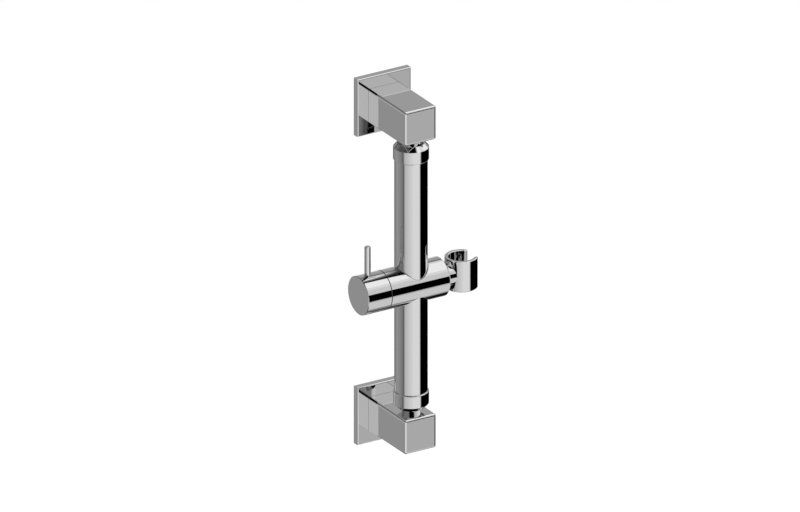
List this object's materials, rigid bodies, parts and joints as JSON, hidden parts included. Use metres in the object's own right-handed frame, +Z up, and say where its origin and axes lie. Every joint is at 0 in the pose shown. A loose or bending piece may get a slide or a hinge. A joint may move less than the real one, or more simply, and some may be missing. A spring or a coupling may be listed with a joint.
{
  "type": "shower slide rail",
  "caption": "Wall-mounted shower slide rail: a round bar between square brackets, with a clamping slider, lever knob and C-shaped hand shower holder.",
  "frame": {"origin": "centre of the lower bracket's wall face", "axes": "+Z up along the bar, +Y into the wall, +X from the knob towards the hand shower holder"},
  "size_m": [0.119, 0.0707, 0.3558],
  "materials": {
    "chrome": "polished",
    "steel": "plain",
    "brass": "machined",
    "nylon": "moulded",
    "rubber": "moulded"
  },
  "bodies": {
    "rail": {"bar_tube": "chrome", "lower_flange": "chrome", "lower_wall_base": "steel", "lower_arm": "chrome", "lower_grub_screw": "steel", "lower_spigot": "chrome", "lower_end_cap": "chrome", "lower_tube_plug": "brass", "lower_plug_seal": "rubber", "upper_flange": "chrome", "upper_wall_base": "steel", "upper_arm": "chrome", "upper_grub_screw": "steel", "upper_spigot": "chrome", "upper_end_cap": "chrome", "upper_tube_plug": "brass", "upper_plug_seal": "rubber"},
    "liner": {"glide_liner": "nylon"},
    "slider": {"slider_body": "chrome", "seam_washer": "nylon", "friction_washer": "nylon", "spring_washer": "steel", "pivot_screw": "steel"},
    "knob": {"knob": "chrome", "clamp_screw": "steel", "screw_clip": "steel", "lever_pin": "chrome"},
    "shoe": {"clamp_shoe": "brass"},
    "holder": {"hand_shower_holder": "chrome"}
  },
  "joints": [
    {"name": "slider_slide", "type": "slide", "parent": "rail", "child": "liner", "axis": [0, 0, 1], "range_m": [-0.085, 0.1025]},
    {"name": "slider_swivel", "type": "hinge", "parent": "liner", "child": "slider", "pos_m": [0, -0.0525, 0.1412], "axis": [0, 0, 1], "range_deg": [-45, 45]},
    {"name": "knob_turn", "type": "hinge", "parent": "slider", "child": "knob", "pos_m": [0, -0.0525, 0.1412], "axis": [1, 0, 0], "range_deg": [0, 90]},
    {"name": "shoe_press", "type": "slide", "parent": "slider", "child": "shoe", "axis": [1, 0, 0], "range_m": [-0.00051, 0]},
    {"name": "holder_turn", "type": "hinge", "parent": "slider", "child": "holder", "pos_m": [0.0523, -0.0525, 0.1412], "axis": [1, 0, 0], "continuous": true}
  ],
  "couplings": [
    {"joint": "shoe_press", "follows": "knob_turn", "m_per_rad": -0.00031831}
  ]
}
